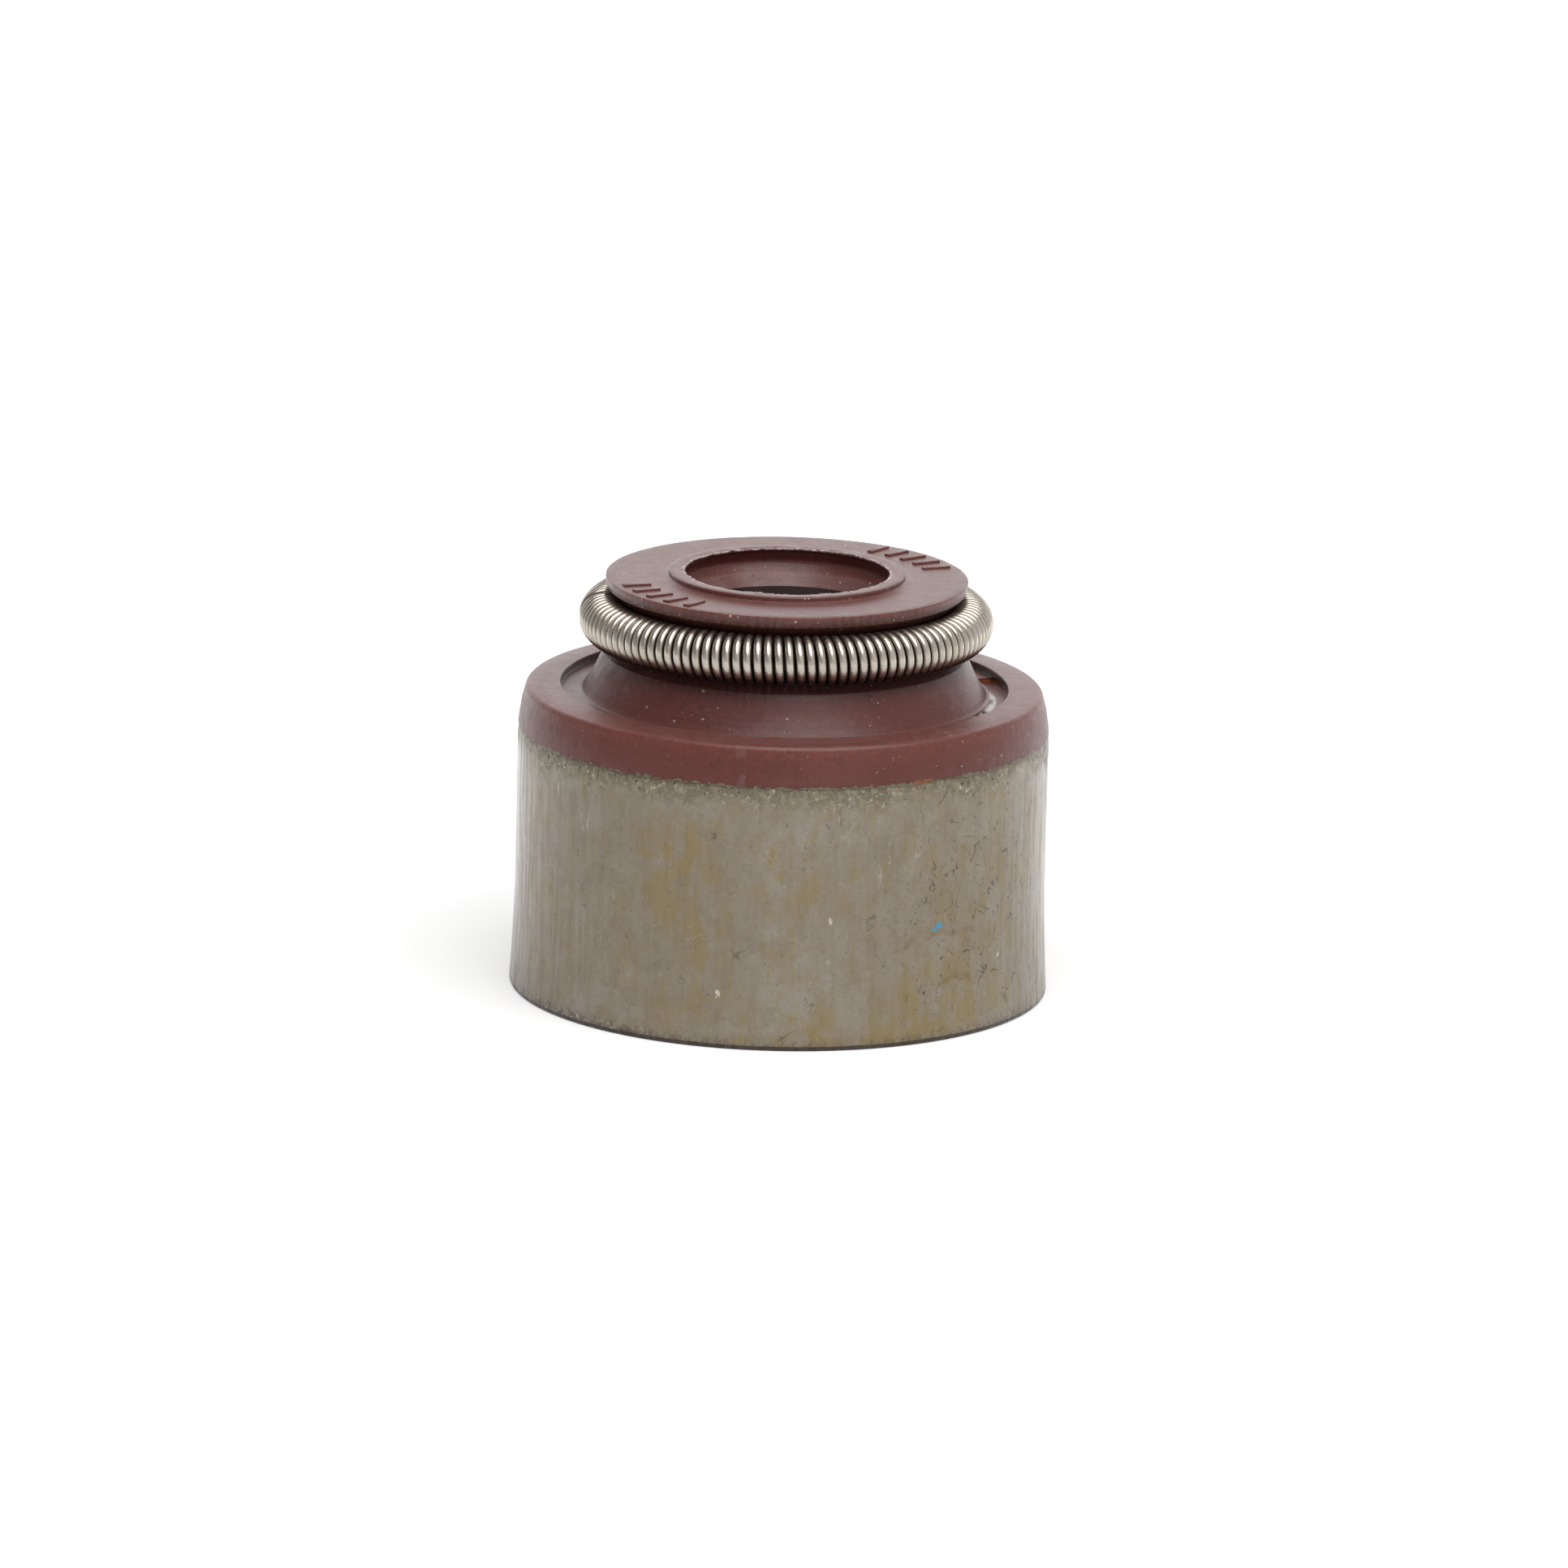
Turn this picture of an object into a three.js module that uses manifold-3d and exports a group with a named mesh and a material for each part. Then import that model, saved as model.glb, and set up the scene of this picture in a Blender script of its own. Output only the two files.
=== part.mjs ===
// Valve stem seal: a drawn steel shell, the rubber moulded to it, and a garter spring.
// Millimetres, +Z up. The origin is the centre of the shell's mouth, which the seal stands on.
import * as THREE from 'three';
import { mergeVertices } from 'three/addons/utils/BufferGeometryUtils.js';
import Module from 'manifold-3d';

// What the seal fits
const stemDiameter = 5.5; // valve stem that runs through the lips
const guideDiameter = 11; // valve guide that the shell is pressed over

// Steel shell
const shellHeight = 7.6; // mouth to the outside of the top flange
const shellWall = 0.6;
const shoulderBend = 0.9; // outside radius of the bend into the flange
const flangeWidth = 2.3; // barrel surface to the edge of the flange's hole
const mouthFlare = 0.11; // how far the mouth opens beyond the barrel
const flareHeight = 2.8;
const edgeBreak = 0.06;

// Rubber lining inside the shell
const bondLine = 0.01; // adhesive between steel and rubber
const liningThickness = 0.69;
const liningStart = 0.9; // height above the mouth
const guideClearance = 0.2; // guide to the lining between its ribs
const ribGrip = 0.15; // what each rib is smaller than the guide, on radius
const ribCount = 3;
const ribWidth = 0.7;
const stopPad = 0.6; // rubber between the flange and the guide's end

// Rubber collar over the shell's shoulder
const collarOverlap = 0.62; // how far the collar comes down past the top of the shell
const collarDraft = 0.17; // taper of the collar's side, on radius
const collarRound = 0.16;
const flangeSkin = 0.3; // rubber on top of the flange, in the trough
const rimWidth = 1.1;
const rimFall = 0.05; // the rim slopes down towards the outside
const troughDepth = 0.2;
const pocketDepth = 0.12; // shallow pocket in the trough's floor
const pocketFrom = -24; // degrees from +X
const pocketTo = 21;
const pocketMargin = 0.03; // pocket to the walls of the trough

// Rubber neck
const neckStep = 0.09; // top of the neck's side beyond the flange's hole
const neckFlare = 0.54; // the neck's side widens by this on its way down
const neckFillet = 0.12; // at the neck's foot
const neckRise = 1.08; // trough floor to the neck's shoulder
const neckRound = 0.05; // on the neck's shoulder
const neckWall = 0.9; // flange hole to the cavity
const cavityRound = 0.4;

// Rubber lips and top disc
const lipGrip = 0.3; // main lip smaller than the stem, on radius
const wiperGrip = 0.065; // upper lip smaller than the stem, on radius
const lipRise = 1.16; // neck shoulder to the main lip's edge
const wiperRise = 1.04; // main lip's edge to the upper lip's edge
const undercutDepth = 0.19;
const lipWall = 1.67; // main lip's edge to the spring's seat
const springDrop = 0.27; // spring centre below the main lip's edge
const discOverhang = 0.65; // disc edge beyond the spring's seat
const discThickness = 0.32;
const discRound = 0.05;
const beadHeight = 0.17; // bead round the stem hole, above the disc
const beadWidth = 0.42;

// Plain raised bars on the disc, in two groups opposite each other
const barCount = 5; // in each group
const barHeight = 0.05;
const barWidth = 0.13;
const barLength = 0.75;
const barInset = 0.22; // outer end of a bar to the disc's edge
const barSpacing = 8.5; // degrees
const barCentre = 37; // degrees from +X, middle of the first group

// Garter spring
const coilDiameter = 1.32;
const wireDiameter = 0.215;
const turnGap = 0.035; // between neighbouring turns, on the coil's centre line
const springClearance = 0.02; // coil to its seat
const jointGap = 0.3; // between the first turn and the last, where the wire's ends meet
const jointAngle = 182; // degrees from +X
const lastTurnLift = 0.03; // the last turn stands a little proud of the others

// Fineness of the solids
const roundSteps = 48; // facets round a turned piece
const turnSteps = 8; // facets round one turn of the spring
const weldDistance = 1e-5;

// Radii and heights worked out from the sizes above
const liningRadius = guideDiameter / 2 + guideClearance;
const barrelRadius = liningRadius + liningThickness + bondLine + shellWall;
const shellBore = barrelRadius - shellWall;
const holeRadius = barrelRadius - flangeWidth;
const flangeUnderside = shellHeight - shellWall;
const bendHeight = shellHeight - shoulderBend; // centre of the shoulder bend
const bendRadius = barrelRadius - shoulderBend;
const guideStop = flangeUnderside - stopPad;
const flareHeights = [liningStart, (liningStart + flareHeight) / 2, flareHeight];
const troughFloor = shellHeight + flangeSkin;
const rimTop = troughFloor + troughDepth;
const troughWall = barrelRadius - rimWidth;
const neckRadius = holeRadius + neckStep;
const footRadius = neckRadius + neckFlare; // where the neck's side would meet the trough's floor
const neckLean = Math.atan(neckFlare / neckRise); // of the neck's side, from upright
const troughStart = footRadius + neckFillet * Math.tan(Math.PI / 4 - neckLean / 2);
const neckTop = troughFloor + neckRise;
const cavityRadius = holeRadius - neckWall;
const lipRadius = stemDiameter / 2 - lipGrip;
const lipHeight = neckTop + lipRise;
const wiperRadius = stemDiameter / 2 - wiperGrip;
const wiperHeight = lipHeight + wiperRise;
const discTop = wiperHeight - beadHeight;
const discBottom = discTop - discThickness;
const seatRadius = lipRadius + lipWall; // where the spring bears on the rubber
const discRadius = seatRadius + discOverhang;
const coilRadius = coilDiameter / 2;
const springRadius = seatRadius + springClearance + coilRadius; // centre line of the coil
const springHeight = lipHeight - springDrop;

const wasm = await Module();
wasm.setup();

const radians = THREE.MathUtils.degToRad;

// Points of an arc in the section plane, both ends included
function arc(centreR, centreZ, radius, fromDegrees, toDegrees, steps) {
  const points = [];
  for (let i = 0; i <= steps; i += 1) {
    const angle = radians(fromDegrees + ((toDegrees - fromDegrees) * i) / steps);
    points.push([centreR + radius * Math.cos(angle), centreZ + radius * Math.sin(angle)]);
  }
  return points;
}

// A ring turned from a closed section, listed up the outside and down the inside
function turned(section) {
  const profile = section.map(([r, z]) => new THREE.Vector2(r, z));
  profile.push(profile[0].clone());
  return new THREE.LatheGeometry(profile, roundSteps).rotateX(Math.PI / 2);
}

function toSolid(geometry) {
  const bare = geometry.clone();
  bare.deleteAttribute('normal');
  bare.deleteAttribute('uv');
  const welded = mergeVertices(bare, weldDistance);
  return new wasm.Manifold(new wasm.Mesh({
    numProp: 3,
    vertProperties: Float32Array.from(welded.attributes.position.array),
    triVerts: Uint32Array.from(welded.index.array),
  }));
}

function toGeometry(solid) {
  const mesh = solid.getMesh();
  const geometry = new THREE.BufferGeometry();
  geometry.setAttribute('position', new THREE.BufferAttribute(mesh.vertProperties, mesh.numProp));
  geometry.setIndex(new THREE.BufferAttribute(mesh.triVerts, 1));
  return geometry;
}

// How far the flare has opened at a height, from the whole flare at the mouth to none at its top
function flareAt(height) {
  return mouthFlare * Math.max(0, 1 - height / flareHeight) ** 1.3;
}

// Drawn cup, open at the mouth, with its top turned in to a flange
function steelShell() {
  const mouthRadius = barrelRadius + mouthFlare;
  const boreMouth = shellBore + mouthFlare;
  return turned([
    [mouthRadius - edgeBreak, 0],
    [mouthRadius, edgeBreak],
    ...flareHeights.map((z) => [barrelRadius + flareAt(z), z]),
    ...arc(bendRadius, bendHeight, shoulderBend, 0, 90, 7),
    [holeRadius, shellHeight],
    [holeRadius, flangeUnderside],
    ...arc(bendRadius, bendHeight, shoulderBend - shellWall, 90, 0, 4),
    ...flareHeights.map((z) => [shellBore + flareAt(z), z]).reverse(),
    [boreMouth, edgeBreak],
    [boreMouth + edgeBreak, 0],
  ]);
}

// The lining's inner face, from the guide's stop down to its start, with its round-nosed ribs
function liningRibs() {
  const ribRadius = guideDiameter / 2 - ribGrip;
  const spacing = (guideStop - liningStart) / ribCount;
  const points = [];
  for (let i = ribCount - 1; i >= 0; i -= 1) {
    const middle = liningStart + (i + 0.5) * spacing;
    points.push([liningRadius, middle + ribWidth / 2]);
    points.push([ribRadius, middle + ribWidth / 6]);
    points.push([ribRadius, middle - ribWidth / 6]);
    points.push([liningRadius, middle - ribWidth / 2]);
  }
  return points;
}

// One moulding: lining, stop, collar, trough, neck, spring seat, disc and lips
function sealSection() {
  const collarStart = shellHeight - collarOverlap;
  const bendSkin = shoulderBend + bondLine;
  const collarMeets = THREE.MathUtils.radToDeg(Math.asin((collarStart - bendHeight) / bendSkin));
  const collarTop = barrelRadius - collarDraft; // radius of the collar under its rounded edge
  const lean = THREE.MathUtils.radToDeg(neckLean);
  const rimOuter = rimTop - rimFall;
  const seatArc = coilRadius + springClearance;
  const beadRadius = wiperRadius + beadWidth;
  const undercutRadius = wiperRadius + undercutDepth;
  const slopeHeight = lipHeight - (cavityRadius - lipRadius); // the lip's underside falls at 45 degrees
  const cavityCorner = slopeHeight - cavityRound * Math.tan(Math.PI / 8);
  return [
    ...flareHeights.map((z) => [shellBore + flareAt(z) - bondLine, z]),
    ...arc(bendRadius, bendHeight, shoulderBend - shellWall - bondLine, 0, 90, 4),
    [holeRadius - bondLine, flangeUnderside - bondLine],
    [holeRadius - bondLine, shellHeight + bondLine],
    ...arc(bendRadius, bendHeight, bendSkin, 90, collarMeets, 6),
    [barrelRadius, collarStart],
    ...arc(collarTop - collarRound, rimOuter - collarRound, collarRound, 0, 80, 4),
    [troughWall + edgeBreak, rimTop],
    [troughWall, rimTop - edgeBreak],
    [troughWall, troughFloor],
    ...arc(troughStart, troughFloor + neckFillet, neckFillet, 270, 180 + lean, 3),
    ...arc(neckRadius - neckRound, neckTop - neckRound, neckRound, lean, 60, 2),
    ...arc(springRadius, springHeight, seatArc, 240, 125, 8),
    [discRadius - 2 * discRound, discBottom],
    [discRadius - discRound, discBottom + discRound],
    [discRadius, discTop - discRound],
    [discRadius - discRound, discTop],
    [beadRadius + 2 * beadHeight, discTop],
    [beadRadius + 0.4 * beadHeight, discTop + 0.25 * beadHeight],
    [beadRadius, discTop + 0.7 * beadHeight],
    [beadRadius - 0.7 * beadHeight, wiperHeight],
    [wiperRadius, wiperHeight],
    [undercutRadius - 0.3 * undercutDepth, wiperHeight - undercutDepth],
    ...arc(undercutRadius - undercutDepth, wiperHeight - 2 * undercutDepth, undercutDepth, 0, -45, 2),
    [lipRadius, lipHeight],
    ...arc(cavityRadius - cavityRound, cavityCorner, cavityRound, 45, 0, 2),
    [cavityRadius, guideStop + edgeBreak],
    [cavityRadius + edgeBreak, guideStop],
    [liningRadius, guideStop],
    ...liningRibs(),
    [liningRadius, liningStart + edgeBreak],
    [liningRadius + edgeBreak, liningStart],
  ];
}

// Shallow pocket in the trough's floor, on the right
function pocketCutter() {
  const shape = new THREE.Shape();
  shape.absarc(0, 0, troughWall - pocketMargin, radians(pocketFrom), radians(pocketTo), false);
  shape.absarc(0, 0, troughStart + pocketMargin, radians(pocketTo), radians(pocketFrom), true);
  shape.closePath();
  const depth = pocketDepth + troughDepth / 2;
  const cutter = new THREE.ExtrudeGeometry(shape, { depth, bevelEnabled: false, curveSegments: 8 });
  return cutter.translate(0, 0, troughFloor - pocketDepth);
}

// One plain bar, lying along a radius of the disc
function discBar(degrees) {
  const height = barHeight + discThickness / 2;
  const bar = new THREE.BoxGeometry(barLength, barWidth, height);
  bar.translate(discRadius - barInset - barLength / 2, 0, discTop + barHeight - height / 2);
  return bar.rotateZ(radians(degrees));
}

function rubberSeal() {
  let solid = toSolid(turned(sealSection())).subtract(toSolid(pocketCutter()));
  for (const group of [barCentre, barCentre + 180]) {
    for (let i = 0; i < barCount; i += 1) {
      const degrees = group + (i - (barCount - 1) / 2) * barSpacing;
      solid = solid.add(toSolid(discBar(degrees)));
    }
  }
  return toGeometry(solid);
}

// Centre line of the wire: a close-wound coil bent round into a ring, open at its joint
class GarterWire extends THREE.Curve {
  constructor(turns) {
    super();
    this.turns = turns;
    this.start = radians(jointAngle) + jointGap / 2 / springRadius;
    this.sweep = Math.PI * 2 - jointGap / springRadius;
  }

  // Directions at t: away from the ring's axis, and away from the coil's centre line
  directions(t) {
    const around = this.start + this.sweep * t;
    const winding = Math.PI * 2 * this.turns * t;
    const radial = new THREE.Vector3(Math.cos(around), Math.sin(around), 0);
    const outward = radial.clone().multiplyScalar(Math.cos(winding));
    outward.z = Math.sin(winding);
    return { radial, outward };
  }

  getPoint(t) {
    const { radial, outward } = this.directions(t);
    const intoLastTurn = Math.max(0, 1 - (1 - t) * this.turns);
    const radius = coilRadius - wireDiameter / 2 + lastTurnLift * intoLastTurn;
    const point = radial.multiplyScalar(springRadius).addScaledVector(outward, radius);
    point.z += springHeight;
    return point;
  }

  getSpacedPoints(divisions) {
    return this.getPoints(divisions);
  }

  // The wire's section keeps one corner facing out of the coil all the way round
  computeFrenetFrames(segments) {
    const frames = { tangents: [], normals: [], binormals: [] };
    const reach = 0.01 / segments;
    for (let i = 0; i <= segments; i += 1) {
      const t = i / segments;
      const tangent = this.getPoint(t + reach).sub(this.getPoint(t - reach)).normalize();
      const binormal = tangent.clone().cross(this.directions(t).outward).normalize();
      frames.tangents.push(tangent);
      frames.binormals.push(binormal);
      frames.normals.push(binormal.clone().cross(tangent));
    }
    return frames;
  }
}

function garterSpring() {
  const pitch = wireDiameter + turnGap;
  const turns = Math.floor((Math.PI * 2 * springRadius - jointGap) / pitch);
  const section = new THREE.Shape();
  section.moveTo(wireDiameter / 2, 0);
  section.lineTo(0, wireDiameter / 2);
  section.lineTo(-wireDiameter / 2, 0);
  section.lineTo(0, -wireDiameter / 2);
  section.closePath();
  const wire = { steps: turns * turnSteps, extrudePath: new GarterWire(turns) };
  return new THREE.ExtrudeGeometry(section, wire);
}

function piece(name, geometry, material) {
  const mesh = new THREE.Mesh(geometry, new THREE.MeshStandardMaterial(material));
  mesh.name = name;
  return mesh;
}

const seal = new THREE.Group();
seal.add(
  piece('steel_shell', steelShell(), { color: 0x8c8270, roughness: 0.55, metalness: 0.7 }),
  piece('rubber_seal', rubberSeal(), { color: 0x6b3f3b, roughness: 0.6, metalness: 0 }),
  piece('garter_spring', garterSpring(), { color: 0xb9b4a8, roughness: 0.3, metalness: 1 }),
);

export default seal;
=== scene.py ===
# Valve stem seal: steel shell, moulded rubber and garter spring, standing on a white table.
import math

import bmesh
import bpy
from mathutils import Matrix, Vector, noise


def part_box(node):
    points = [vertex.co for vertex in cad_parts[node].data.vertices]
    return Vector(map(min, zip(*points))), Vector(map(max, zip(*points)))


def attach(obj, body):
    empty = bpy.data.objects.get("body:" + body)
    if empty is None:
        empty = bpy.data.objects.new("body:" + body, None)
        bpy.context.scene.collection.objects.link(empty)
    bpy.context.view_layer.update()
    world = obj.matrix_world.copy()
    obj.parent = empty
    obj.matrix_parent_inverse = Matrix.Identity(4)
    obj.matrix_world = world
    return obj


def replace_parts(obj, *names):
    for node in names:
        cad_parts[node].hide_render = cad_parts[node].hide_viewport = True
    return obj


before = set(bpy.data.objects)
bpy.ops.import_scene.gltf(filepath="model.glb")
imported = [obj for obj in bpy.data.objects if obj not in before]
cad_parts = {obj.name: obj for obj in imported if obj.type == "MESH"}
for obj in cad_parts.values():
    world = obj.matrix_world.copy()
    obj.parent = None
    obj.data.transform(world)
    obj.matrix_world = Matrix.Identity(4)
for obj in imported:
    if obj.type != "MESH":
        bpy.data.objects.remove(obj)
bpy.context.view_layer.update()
mm = 0.001  # one millimetre, in metres

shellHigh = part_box("steel_shell")[1]
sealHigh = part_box("rubber_seal")[1]
barrel = sealHigh.x / mm  # radius of the straight barrel, which the collar is flush with
mouth = shellHigh.x / mm
shellTop = shellHigh.z / mm
sealTop = sealHigh.z / mm


# helpers for modelling


def setMode(mode):
    bpy.ops.object.mode_set(mode=mode)


def clearSelection():
    if bpy.context.mode != "OBJECT":
        setMode("OBJECT")
    bpy.ops.object.select_all(action="DESELECT")


def selectOnly(piece):
    clearSelection()
    piece.select_set(True)
    bpy.context.view_layer.objects.active = piece


def pull(x, z):
    # extrudes what is selected, by a step in millimetres
    bpy.ops.mesh.extrude_region_move(TRANSFORM_OT_translate={"value": (x * mm, 0, z * mm)})


def arc(centreR, centreZ, radius, start, end, steps):
    turn = [math.radians(start + (end - start) * i / steps) for i in range(steps + 1)]
    return [(centreR + radius * math.cos(t), centreZ + radius * math.sin(t)) for t in turn]


def pick(piece, kind, test):
    # selects the faces, edges or verts of a piece in edit mode by a test on them
    mesh = bmesh.from_edit_mesh(piece.data)
    bpy.ops.mesh.select_all(action="DESELECT")
    for part in getattr(mesh, kind):
        if test(part):
            part.select_set(True)
    mesh.select_flush_mode()
    bmesh.update_edit_mesh(piece.data)


def traceSection(name, section):
    # one vertex, pulled along the section from point to point
    clearSelection()
    bpy.ops.mesh.primitive_plane_add(size=mm)
    piece = bpy.context.object
    piece.name = name
    setMode("EDIT")
    bpy.ops.mesh.merge(type="CENTER")
    startR, startZ = section[0]
    bpy.ops.transform.translate(value=(startR * mm, 0, startZ * mm))
    for (r, z), (nextR, nextZ) in zip(section, section[1:] + section[:1]):
        pull(nextR - r, nextZ - z)
    return piece


def spinRound(piece, steps):
    bpy.ops.mesh.select_all(action="SELECT")
    bpy.ops.mesh.spin(steps=steps, angle=2 * math.pi, center=(0, 0, 0), axis=(0, 0, 1))
    bpy.ops.mesh.select_all(action="SELECT")
    bpy.ops.mesh.remove_doubles(threshold=0.0005 * mm)
    bpy.ops.mesh.normals_make_consistent(inside=False)
    setMode("OBJECT")
    return piece


def smooth(piece, angle):
    selectOnly(piece)
    bpy.ops.object.shade_smooth_by_angle(angle=math.radians(angle))


def polar(point):
    # radius and height in millimetres, and degrees round from +X
    return (
        math.hypot(point.x, point.y) / mm,
        point.z / mm,
        math.degrees(math.atan2(point.y, point.x)),
    )


# camera

cameraSizes = {
    "frame": 1932,  # pixels across the photograph
    "pixelsPerMm": 46.48,  # at the seal's foot
    "distance": 322.7,  # millimetres from the camera to the seal's foot
    "tilt": 14.87,  # degrees below the horizon to the foot
    "roll": 1.37,
    "footRight": -8.1,  # pixels from the frame's centre to the foot
    "footDown": 243.1,
    "sensor": 36.0,
}


def addCamera(sizes):
    tilt, roll = math.radians(sizes["tilt"]), math.radians(sizes["roll"])
    sight = Vector((0, math.cos(tilt), -math.sin(tilt)))
    rise = Vector((0, math.sin(tilt), math.cos(tilt)))
    side = Vector((1, 0, 0))
    right = side * math.cos(roll) + rise * math.sin(roll)
    up = rise * math.cos(roll) - side * math.sin(roll)
    eye = -sight * sizes["distance"] * mm
    perPixel = mm / sizes["pixelsPerMm"]
    aim = up * sizes["footDown"] * perPixel - right * sizes["footRight"] * perPixel
    forward = (aim - eye).normalized()
    right = (right - forward * right.dot(forward)).normalized()
    up = right.cross(forward)
    clearSelection()
    bpy.ops.object.camera_add(location=eye)
    camera = bpy.context.object
    camera.name = "photoCamera"
    camera.rotation_mode = "QUATERNION"
    camera.rotation_quaternion = Matrix((right, up, -forward)).transposed().to_quaternion()
    camera.data.sensor_width = sizes["sensor"]
    camera.data.lens = (
        sizes["distance"] * sizes["pixelsPerMm"] / sizes["frame"] * sizes["sensor"]
    )
    camera.data.clip_start, camera.data.clip_end = 0.01, 5
    bpy.context.scene.camera = camera


addCamera(cameraSizes)
print("camera set")


# steel shell

shellSizes = {
    "wall": 0.6,
    "bend": 0.9,
    "flangeWidth": 2.3,
    "flareHeight": 2.8,
    "edge": 0.06,
    "trimRise": 0.02,  # how uneven the trimmed mouth is
    "trimWaves": 900,  # per metre
    "steps": 192,
}
bendR, bendZ = barrel - shellSizes["bend"], shellTop - shellSizes["bend"]


def flareAt(height, sizes):
    return (mouth - barrel) * max(0, 1 - height / sizes["flareHeight"]) ** 1.3


def shellSection(sizes):
    wall, edge = sizes["wall"], sizes["edge"]
    hole = barrel - sizes["flangeWidth"]
    heights = [sizes["flareHeight"] * i / 6 for i in range(7)]
    heights[0] = edge
    outside = [(barrel + flareAt(z, sizes), z) for z in heights]
    inside = [(r - wall, z) for r, z in reversed(outside)]
    outside[0] = (mouth, edge)
    return [
        (mouth - edge, 0),
        (mouth - edge * 0.3, edge * 0.3),
        *outside,
        (barrel, (sizes["flareHeight"] + bendZ) / 2),
        *arc(bendR, bendZ, sizes["bend"], 0, 90, 12),
        (hole, shellTop),
        (hole, shellTop - wall),
        *arc(bendR, bendZ, sizes["bend"] - wall, 90, 0, 6),
        *inside,
        (mouth - wall + edge, 0),
    ]


def makeShell(sizes):
    shell = spinRound(traceSection("steelShell", shellSection(sizes)), sizes["steps"])
    for vertex in shell.data.vertices:  # the trimmed mouth isn't perfectly even
        r, z, _ = polar(vertex.co)
        if sizes["edge"] * 0.2 < z < sizes["edge"] * 1.1:
            wave = abs(noise.noise(vertex.co * sizes["trimWaves"]))
            vertex.co.z += wave * sizes["trimRise"] * mm
    smooth(shell, 35)
    return shell


steelShell = makeShell(shellSizes)
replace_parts(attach(steelShell, "root"), "steel_shell")
print("steel shell made")


# rubber

sealSizes = {
    "bond": 0.01,
    "collarOverlap": 0.62,
    "collarDraft": 0.17,
    "collarRound": 0.16,
    "skin": 0.3,  # rubber over the flange
    "rimWidth": 1.1,
    "rimFall": 0.05,
    "troughDepth": 0.2,
    "pocketDepth": 0.12,
    "pocketFrom": -24,
    "pocketTo": 21,
    "neckStep": 0.09,
    "neckFlare": 0.54,
    "neckFillet": 0.12,
    "neckRise": 1.08,
    "neckRound": 0.05,
    "neckWall": 0.9,
    "lipRadius": 2.45,
    "lipDrop": 0.99,  # main lip's edge below the top
    "wiperRadius": 2.685,
    "undercut": 0.19,
    "seatRadius": 4.12,
    "coilRadius": 0.66,
    "clearance": 0.02,
    "springDrop": 1.31,  # spring centre below the top
    "discRadius": 4.77,
    "discThickness": 0.32,
    "beadHeight": 0.17,
    "beadWidth": 0.42,
    "flash": 0.035,  # ragged flash on the upper lip
    "guideStop": 6.4,
    "liningStart": 0.9,
    "liningRadius": 5.7,
    "ribRadius": 5.35,
    "ribWidth": 0.7,
    "ribCount": 3,
    "barHeight": 0.05,
    "barInner": 3.8,
    "barOuter": 4.55,
    "barCount": 5,
    "barSpacing": 8.75,
    "barCentre": 37.5,
    "barEdge": 0.018,
    "neckHollow": 0.035,
    "flashNicks": 0.025,
    "flashRise": 0.06,
    "discNicks": 0.02,
    "bleedWaves": 0.05,
    "bleedCrumbs": 0.07,
    "steps": 288,
}
springHeight = sealTop - sealSizes["springDrop"]
springRadius = sealSizes["seatRadius"] + sealSizes["clearance"] + sealSizes["coilRadius"]
troughFloor = shellTop + sealSizes["skin"]
discTop = sealTop - sealSizes["beadHeight"]


def liningRibs(sizes):
    spacing = (sizes["guideStop"] - sizes["liningStart"]) / sizes["ribCount"]
    points = []
    for i in reversed(range(sizes["ribCount"])):
        middle = sizes["liningStart"] + (i + 0.5) * spacing
        for share in (1, 0.75, 0.45, 0, -0.45, -0.75, -1):  # round-nosed rib
            swell = math.cos(share * math.pi / 2) ** 0.7
            r = sizes["liningRadius"] - (sizes["liningRadius"] - sizes["ribRadius"]) * swell
            points.append((r, middle + share * sizes["ribWidth"] / 2))
    return points


def outerCollar(sizes):
    start = shellTop - sizes["collarOverlap"]
    skin = shellSizes["bend"] + sizes["bond"]
    meets = math.degrees(math.asin((start - bendZ) / skin))
    rimTop = troughFloor + sizes["troughDepth"]
    rimOuter = rimTop - sizes["rimFall"]
    roundR = barrel - sizes["collarDraft"] - sizes["collarRound"]
    wall = barrel - sizes["rimWidth"]
    side = [
        (barrel - 0.004, start + 0.02),
        (barrel - 0.03, start + 0.25),
        (barrel - 0.08, start + 0.6),
    ]
    return [
        *arc(bendR, bendZ, skin, 90, meets, 10),
        (barrel - 0.015, start),
        *side,
        *arc(roundR, rimOuter - sizes["collarRound"], sizes["collarRound"], 8, 84, 8),
        (roundR - 0.25, rimOuter + 0.035),
        *arc(wall + 0.03, rimTop - 0.03, 0.03, 80, 180, 4),
        (wall, troughFloor + 0.025),
        (wall - 0.02, troughFloor),
    ]


def neckAndSeat(sizes):
    neck = barrel - shellSizes["flangeWidth"] + sizes["neckStep"]
    top = troughFloor + sizes["neckRise"]
    lean = math.atan(sizes["neckFlare"] / sizes["neckRise"])
    fillet, curl = sizes["neckFillet"], sizes["neckRound"]
    start = neck + sizes["neckFlare"] + fillet * math.tan(math.pi / 4 - lean / 2)
    leanDegrees = math.degrees(lean)
    side = []
    for share in (0.2, 0.35, 0.5, 0.65, 0.8):  # the neck's side is slightly hollow
        bow = sizes["neckHollow"] * math.sin(share * math.pi)
        r = neck + sizes["neckFlare"] * (1 - share) - bow
        side.append((r, troughFloor + sizes["neckRise"] * share))
    return [
        (start + 0.012, troughFloor),
        *arc(start, troughFloor + fillet, fillet, 268, 182 + leanDegrees, 6),
        *side,
        *arc(neck - curl, top - curl, curl, leanDegrees, 60, 4),
        *arc(springRadius, springHeight, sizes["coilRadius"] + sizes["clearance"], 240, 125, 14),
    ]


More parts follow.
